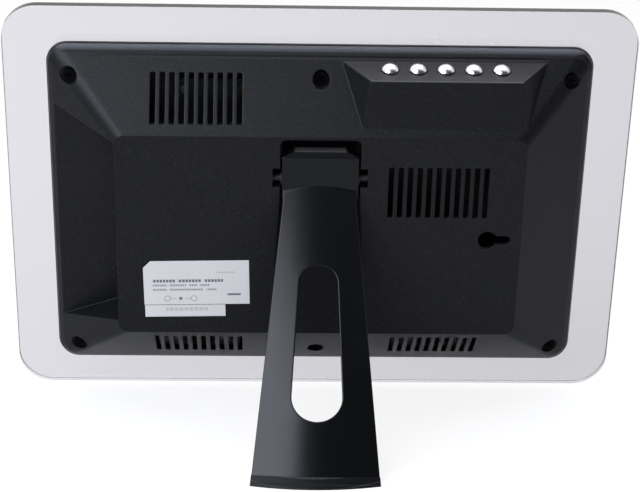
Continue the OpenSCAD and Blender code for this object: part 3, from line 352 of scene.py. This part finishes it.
def clear_acrylic(m):
    """Clear through, with painted shade making it a little greyer towards its lower right, hazed
    and specked with dust.
    """
    haze = m.noise(0.05, 4.0, 0.7)
    x, _, h = m.plate_axes()
    # Painted shade: the tint gets greyer towards the lower right of the plate.
    painted_shade_share = 0.5 + x * (0.3 * 2.0 / PLATE_W) + (h * (2.0 / PLATE_H) - 1.0) * 0.25
    cells = {"Vector": m.place(), "Scale": SPECK_PER_MM / MM}
    spot = m.node("ShaderNodeTexVoronoi", {"feature": "F1"}, cells)
    speck = (spot < SPECK_SIZE) * (m.noise(0.03) > 0.52)
    tint = m.mix(painted_shade_share, (0.675, 0.668, 0.700), (0.855, 0.842, 0.895))
    surface = m.node(
        "ShaderNodeBsdfPrincipled",
        None,
        {
            "Base Color": m.mix(speck * 0.6, tint, (0.2, 0.2, 0.2)),
            "Roughness": 0.012 + 0.02 * haze,
            "IOR": 1.49,
            "Transmission Weight": 1.0,
        },
    )
    clear = m.node("ShaderNodeBsdfTransparent", None, {"Color": (0.86, 0.86, 0.87)})
    shadow = m.node("ShaderNodeLightPath", out="Is Shadow Ray")
    both = m.node("ShaderNodeMixShader", None, {0: shadow, 1: surface, 2: clear})
    m.node("ShaderNodeOutputMaterial", None, {"Surface": both})


# %% [markdown]
# The foot is a rubber pad with two steps, and a painted highlight runs as a pale line along the
# upper edge of each. The pad leans half as far as the leg, so its own up direction is used: a dot
# product with it gives the height of any spot on the pad.

# %% Rubber for the foot
FOOT_TURN = math.radians(33.5 / 2)
STEP_DROP = 3.4
foot_up = np.array([0.0, math.sin(FOOT_TURN), math.cos(FOOT_TURN)])
foot_spots = np.array([v.co for v in bpy.data.objects["foot_pad"].data.vertices]) / MM
FOOT_TOP = (foot_spots @ foot_up).max()
print("foot pad top", FOOT_TOP.round(2), "mm along its own up direction")


def foot_rubber(m):
    """Dull rubber with painted highlights along the upper edges of its two steps."""
    grain = m.noise(2.0, 3.0)
    along_up = {0: m.place(), 1: tuple(foot_up / MM)}
    rise = m.node("ShaderNodeVectorMath", {"operation": "DOT_PRODUCT"}, along_up, out=1)
    # Painted highlights: pale lines along the upper edge of each step.
    first = (rise - (FOOT_TOP - 0.3)).size() < 0.3
    second = ((rise - (FOOT_TOP - STEP_DROP)).size() < 0.25) * 0.5
    painted_step_highlight = first.math("MAXIMUM", second) * grain.lift(0.3, 0.7)
    m.surface(
        Base_Color=m.mix(painted_step_highlight, (0.0035, 0.0038, 0.0045), (0.045, 0.045, 0.05)),
        Roughness=0.34 + 0.1 * grain,
        Specular_IOR_Level=0.12,
        Normal=m.bump(grain, 0.03, 0.5),
    )


# %% [markdown]
# Most pieces inside need one plain finish each: a colour with a little cloud in it and a fine
# grain. A function that returns a writer makes all of them. The buttons are bright plated caps,
# whose haze breaks up their reflections a little.

# %% Plain finishes and plated buttons
GRAIN_MM = 0.03
CLOUD_DARK = 0.82


def plain(colour, rough, metal=0.0, gloss=0.5):
    """A moulded or plated finish: one colour, a little cloud in it and a fine grain."""

    def write(m):
        cloud = m.noise(0.2, 3.0)
        dark = tuple(CLOUD_DARK * c for c in colour)
        m.surface(
            Base_Color=m.mix(cloud, dark, colour),
            Roughness=rough + 0.12 * (cloud - 0.5),
            Metallic=metal,
            Specular_IOR_Level=gloss,
            Normal=m.bump(m.noise(1.5, 2.0), GRAIN_MM, 0.3),
        )

    return write


def button_chrome(m):
    """Bright metal with a soft haze."""
    haze = m.noise(0.45, 3.0, 0.6)
    m.surface(
        Base_Color=m.mix(haze, (0.70, 0.70, 0.72), (0.93, 0.93, 0.94)),
        Metallic=1.0,
        Roughness=0.2 + 0.12 * haze,
        Normal=m.bump(haze, 0.15, 0.5),
    )


# %% [markdown]
# The sticker carries only generic print: a heading, rows of small type, a short bar and a
# polarity drawing. Each row of type is a bar cut into letters by a repeating gap, so no word is
# ever drawn. The sticker went on a little crooked, so its own lower corners give the direction
# in which the bars run.

# %% Find how the label lies
def corner_run(node):
    """A node's lowest corner, and the unit direction to its corner at the other end."""
    flat = plate_spots(node)[:, [0, 2]]
    start, end = flat[flat[:, 1].argmin()], flat[flat[:, 0].argmin()]
    return start, (end - start) / np.linalg.norm(end - start)


label_corner, label_run = corner_run("main_label")
print("label corner", label_corner.round(2), "runs along", label_run.round(4))

# %% Label paper and its print
LETTER_FILL = 0.76
PRINT = [  # height, half height, letter pitch, ink, words from and to: all in millimetres but ink
    (12.9, 0.75, 1.55, 1.0, [(4.2, 15.2), (16.4, 27.6), (29.2, 38.2)]),
    (10.5, 0.5, 1.1, 0.75, [(4.2, 11.2), (12.4, 20.4), (21.8, 25.8), (27.0, 31.6)]),
    (8.1, 0.5, 1.1, 0.75, [(4.2, 11.2), (12.4, 28.4), (30.2, 35.0)]),
    (17.3, 0.4, 0.9, 0.35, [(35.0, 44.0)]),
    (5.3, 0.5, 99.0, 1.0, [(40.2, 46.6)]),
    (3.3, 0.2, 99.0, 0.5, [(12.5, 15.5), (19.6, 22.6)]),
    (-2.6, 0.9, 2.4, 0.3, [(10.4, 30.6)]),
]


POLARITY_UP = 3.3
DOT_AT, DOT_SQUARED = 17.6, 0.8
RINGS_AT, RING_RADIUS, RING_HALF = (11.2, 24.0), 1.4, 0.2


def label_paper(m):
    """Paper with ink where any of the print's masks is set.

    Along and up are the label's own axes: the dot and cross products with its run. A word is
    half its height either side of its row, between two ends, and cut by the fraction of along
    over the letter pitch. A ring is where the distance to its centre is near its radius.
    """
    (corner_x, corner_h), (run_x, run_h) = label_corner, label_run
    x, _, h = m.plate_axes()
    along = (x - corner_x) * run_x + (h - corner_h) * run_h
    up = (x - corner_x) * run_h + (h - corner_h) * -run_x
    fibre = m.noise(2.5, 3.0, 0.6)
    up_squared = (up - POLARITY_UP).math("POWER", 2.0)
    ink = ((along - DOT_AT).math("POWER", 2.0) + up_squared < DOT_SQUARED) * 0.9
    for centre in RINGS_AT:
        distance = ((along - centre).math("POWER", 2.0) + up_squared).math("SQRT")
        ink = ink.math("MAXIMUM", ((distance - RING_RADIUS).size() < RING_HALF) * 0.6)
    for row, half, letter, dark, words in PRINT:
        letters = (along / letter).math("FRACT") < LETTER_FILL
        line = ((up - row).size() < half) * letters * dark
        for left, right in words:
            ink = ink.math("MAXIMUM", line * (along > left) * (along < right))
    paper = m.mix(m.noise(0.06), (0.57, 0.565, 0.56), (0.63, 0.62, 0.615))
    m.surface(
        Base_Color=m.mix(ink * (0.7 + 0.3 * fibre), paper, (0.04, 0.045, 0.07)),
        Roughness=0.42 + 0.12 * fibre,
        Normal=m.bump(fibre, 0.01, 0.4),
    )


# %% [markdown]
# Every node in the record names the slot that its finish goes into. This table says which
# finish each slot gets. Boards, sheet steel and speakers are kept very dark, as they look behind
# the vents in the shade of the housing. The heat sink, the sockets and the wires keep the bright
# colours that such parts have.

# %% Which finish goes where
FINISHES = {
    "clear_acrylic": clear_acrylic,
    "textured_black": textured_black,
    "leg_plastic": leg_plastic,
    "black_plastic": smooth_black,
    "foot_rubber": foot_rubber,
    "button_chrome": button_chrome,
    "label_paper": label_paper,
    "black_tape": plain((0.008, 0.008, 0.009), 0.5),
    "dark_glass": plain((0.01, 0.011, 0.013), 0.08),
    "white_plastic": plain((0.8, 0.8, 0.79), 0.3),
    "lamp_glass": plain((0.9, 0.9, 0.9), 0.2),
    "zinc_steel": plain((0.012, 0.0125, 0.014), 0.55, metal=0.6),
    "zinc_screws": plain((0.09, 0.092, 0.096), 0.45, metal=0.7),
    "black_screws": plain((0.0015, 0.0015, 0.0018), 0.6, gloss=0.05),
    "green_board": plain((0.002, 0.007, 0.004), 0.5, gloss=0.3),
    "brass_standoffs": plain((0.10, 0.07, 0.03), 0.4, metal=1.0),
    "black_chips": plain((0.015, 0.015, 0.016), 0.5),
    "fin_aluminium": plain((0.6, 0.61, 0.62), 0.4, metal=1.0),
    "can_aluminium": plain((0.06, 0.061, 0.063), 0.4, metal=0.8),
    "ferrite": plain((0.04, 0.04, 0.045), 0.5),
    "socket_metal": plain((0.62, 0.63, 0.64), 0.28, metal=1.0),
    "socket_plastic": plain((0.012, 0.012, 0.013), 0.4),
    "yellow_tape": plain((0.02, 0.014, 0.004), 0.5, gloss=0.2),
    "speaker_frame": plain((0.004, 0.004, 0.004), 0.5, gloss=0.15),
    "speaker_paper": plain((0.005, 0.005, 0.005), 0.8, gloss=0.1),
    "switch_plastic": plain((0.03, 0.03, 0.033), 0.4),
    "polished_pin": plain((0.02, 0.021, 0.023), 0.5),
    "spring_steel": plain((0.012, 0.012, 0.013), 0.5),
    "amber_film": plain((0.35, 0.14, 0.02), 0.3),
    "grey_wire": plain((0.2, 0.2, 0.21), 0.4),
    "red_wire": plain((0.35, 0.02, 0.02), 0.4),
    "white_wire": plain((0.7, 0.7, 0.7), 0.4),
}
print("finishes", len(FINISHES))

# %% [markdown]
# Each node gets the finish of the slot that the record names for it. Only the materials change
# here: no solid is moved, and no mesh is touched.

# %% Dress every node
node_slot = {s["node"]: s["material_slot"] for s in record["subparts"]}
made = {slot: material(slot, write) for slot, write in FINISHES.items()}
for node, slot in node_slot.items():
    piece = bpy.data.objects[node]
    for holder in piece.material_slots:
        holder.material = made[slot]
    if not piece.material_slots:
        piece.data.materials.append(made[slot])
print("dressed", len(node_slot), "nodes in", len(made), "finishes")


# %% [markdown]
# The clear plate and the foot are simple enough to round for real, and the plate has to be,
# because light bends in its edges. Their meshes come as loose triangles, so a Weld modifier
# joins them, a planar Decimate makes whole faces of them, and then a Bevel has clean edges to
# work on. Weighted normals keep the large faces flat beside the rounded edges.

# %% Soften the plate's and the foot's edges
WELD_MM = 0.002
FLAT_DEGREES = 0.4
SHARP_DEGREES = 28
EDGE_STEPS = 3


def soften(node, width_mm):
    """Merge the loose triangles into whole flat faces, then round every sharp edge a little."""
    piece = bpy.data.objects[node]
    weld = piece.modifiers.new("weld", "WELD")
    weld.merge_threshold = WELD_MM * MM
    flat = piece.modifiers.new("whole flat faces", "DECIMATE")
    flat.decimate_type = "DISSOLVE"
    flat.angle_limit = math.radians(FLAT_DEGREES)
    bevel = piece.modifiers.new("soft edge", "BEVEL")
    bevel.limit_method = "ANGLE"
    bevel.angle_limit = math.radians(SHARP_DEGREES)
    bevel.width = width_mm * MM
    bevel.segments = EDGE_STEPS
    bevel.use_clamp_overlap = False
    smooth = piece.modifiers.new("smooth faces", "WEIGHTED_NORMAL")
    smooth.mode = "FACE_AREA_WITH_ANGLE"
    smooth.keep_sharp = False


soften("acrylic_plate", 0.4)
soften("foot_pad", 0.2)
print("softened the plate and the foot")


# %% [markdown]
# The frame stands on a white sheet much larger than the view. To the camera, and through the
# acrylic, the sheet glows almost white and keeps only the frame's shadow. To every other ray it
# is mid grey, so it doesn't flood the black plastic with light from below.

# %% The floor
FLOOR_HALF = 3.0
GLOW_SHARE = 0.8


def floor():
    """One square, diffuse mixed with a white glow for the camera and through the acrylic."""
    half = FLOOR_HALF
    mesh = bpy.data.meshes.new("floor")
    corners = [(-half, -half, 0), (half, -half, 0), (half, half, 0), (-half, half, 0)]
    mesh.from_pydata(corners, [], [(0, 1, 2, 3)])
    piece = bpy.data.objects.new("floor", mesh)
    bpy.context.scene.collection.objects.link(piece)

    def write(m):
        seen = m.node("ShaderNodeLightPath", out="Is Camera Ray")
        through = m.node("ShaderNodeLightPath", out="Is Transmission Ray")
        colour = m.mix(seen, (0.45, 0.45, 0.46), (0.9, 0.9, 0.9))
        white = m.node("ShaderNodeBsdfDiffuse", None, {"Color": colour})
        glow = m.node("ShaderNodeEmission", None, {"Color": (1, 1, 1), "Strength": 1.0})
        share = (seen + through) * GLOW_SHARE
        both = m.node("ShaderNodeMixShader", None, {0: share, 1: white, 2: glow})
        m.node("ShaderNodeOutputMaterial", None, {"Surface": both})

    piece.data.materials.append(material("floor", write))


floor()
print("floor", 2 * FLOOR_HALF, "m square")


# %% [markdown]
# Black gloss shows whatever stands round it. Here that is a room which is white overhead and
# beyond the frame, and nearly dark behind the camera. Only glossy rays see it. The camera, and
# rays through the acrylic, see plain white, and all other light comes from an even soft sky.

# %% The room
DARK_SIDE = 0.03
WHITE_FULL = 0.55


def world():
    """Light from all round: white behind the frame and overhead, dark behind the camera."""
    scene_world = bpy.data.worlds.new("studio")
    scene_world.use_nodes = True
    m = Maker(scene_world.node_tree)
    direction = {"Vector": m.node("ShaderNodeTexCoord", out="Generated")}
    rear = m.node("ShaderNodeSeparateXYZ", None, direction, out=1)
    up = m.node("ShaderNodeSeparateXYZ", None, direction, out=2)
    share = (up - 1.1 * rear).lift(0.0, WHITE_FULL)
    shade = {"Color": (1, 1, 1), "Strength": DARK_SIDE + share}
    room = m.node("ShaderNodeBackground", None, shade)
    plain_sky = m.node("ShaderNodeBackground", None, {"Color": (1, 1, 1), "Strength": 0.6})
    white = m.node("ShaderNodeBackground", None, {"Color": (1, 1, 1), "Strength": 1.0})
    glossy = m.node("ShaderNodeLightPath", out="Is Glossy Ray")
    seen = m.node("ShaderNodeLightPath", out="Is Camera Ray")
    through = m.node("ShaderNodeLightPath", out="Is Transmission Ray")
    soft = m.node("ShaderNodeMixShader", None, {0: glossy, 1: plain_sky, 2: room})
    bare = seen.math("MAXIMUM", through)
    both = m.node("ShaderNodeMixShader", None, {0: bare, 1: soft, 2: white})
    m.node("ShaderNodeOutputWorld", None, {"Surface": both})
    bpy.context.scene.world = scene_world


world()
print("world", bpy.context.scene.world.name)


# %% [markdown]
# Two large soft lamps do the rest. One stands on the side of the port bay, slightly blue, and
# gives the leg its bright side. The other hangs above and lights the slopes that face up.

# %% Two softboxes
LOOK_AT = (0, 0, 0.1)


def softbox(name, at, towards, size, watts, colour):
    """A rectangular lamp at one point, turned so that its back axis points at another."""
    light = bpy.data.lights.new(name, "AREA")
    light.shape = "RECTANGLE"
    light.size, light.size_y = size
    light.energy = watts
    light.color = colour
    lamp = bpy.data.objects.new(name, light)
    bpy.context.scene.collection.objects.link(lamp)
    lamp.location = at
    aim = np.array(towards) - np.array(at)
    flat = math.hypot(aim[0], aim[1])
    lamp.rotation_euler = (math.atan2(flat, -aim[2]), 0, math.atan2(-aim[0], aim[1]))
    print(name, watts, "W")


softbox("left softbox", (0.80, 0.95, 0.90), LOOK_AT, (1.3, 0.8), 23, (0.9, 0.95, 1.08))
softbox("top softbox", (0.0, -0.25, 1.4), LOOK_AT, (1.6, 0.9), 16, (0.97, 0.98, 1.03))

# %% [markdown]
# The camera is a long lens a little under a metre behind the frame and above it, looking down
# at the cover and the leg. Its place is counted from the plate's lower rear edge. A real camera
# is never quite level, so it has a degree of roll.

# %% The camera
LENS_MM = 106.32
CAMERA_X, CAMERA_BACK, CAMERA_Z = 0.02683, 0.90767, 0.35667
CAMERA_TURN = (72.673, -0.980, 178.480)
camera = bpy.data.cameras.new("camera")
camera.sensor_width = 36
camera.lens = LENS_MM
camera_piece = bpy.data.objects.new("camera", camera)
camera_piece.location = (CAMERA_X, FOOT_Y * MM + CAMERA_BACK, CAMERA_Z)
camera_piece.rotation_euler = tuple(math.radians(turn) for turn in CAMERA_TURN)
bpy.context.scene.collection.objects.link(camera_piece)
bpy.context.scene.camera = camera_piece
bpy.context.scene.view_settings.view_transform = "Standard"
print("camera", tuple(round(c, 3) for c in camera_piece.location))
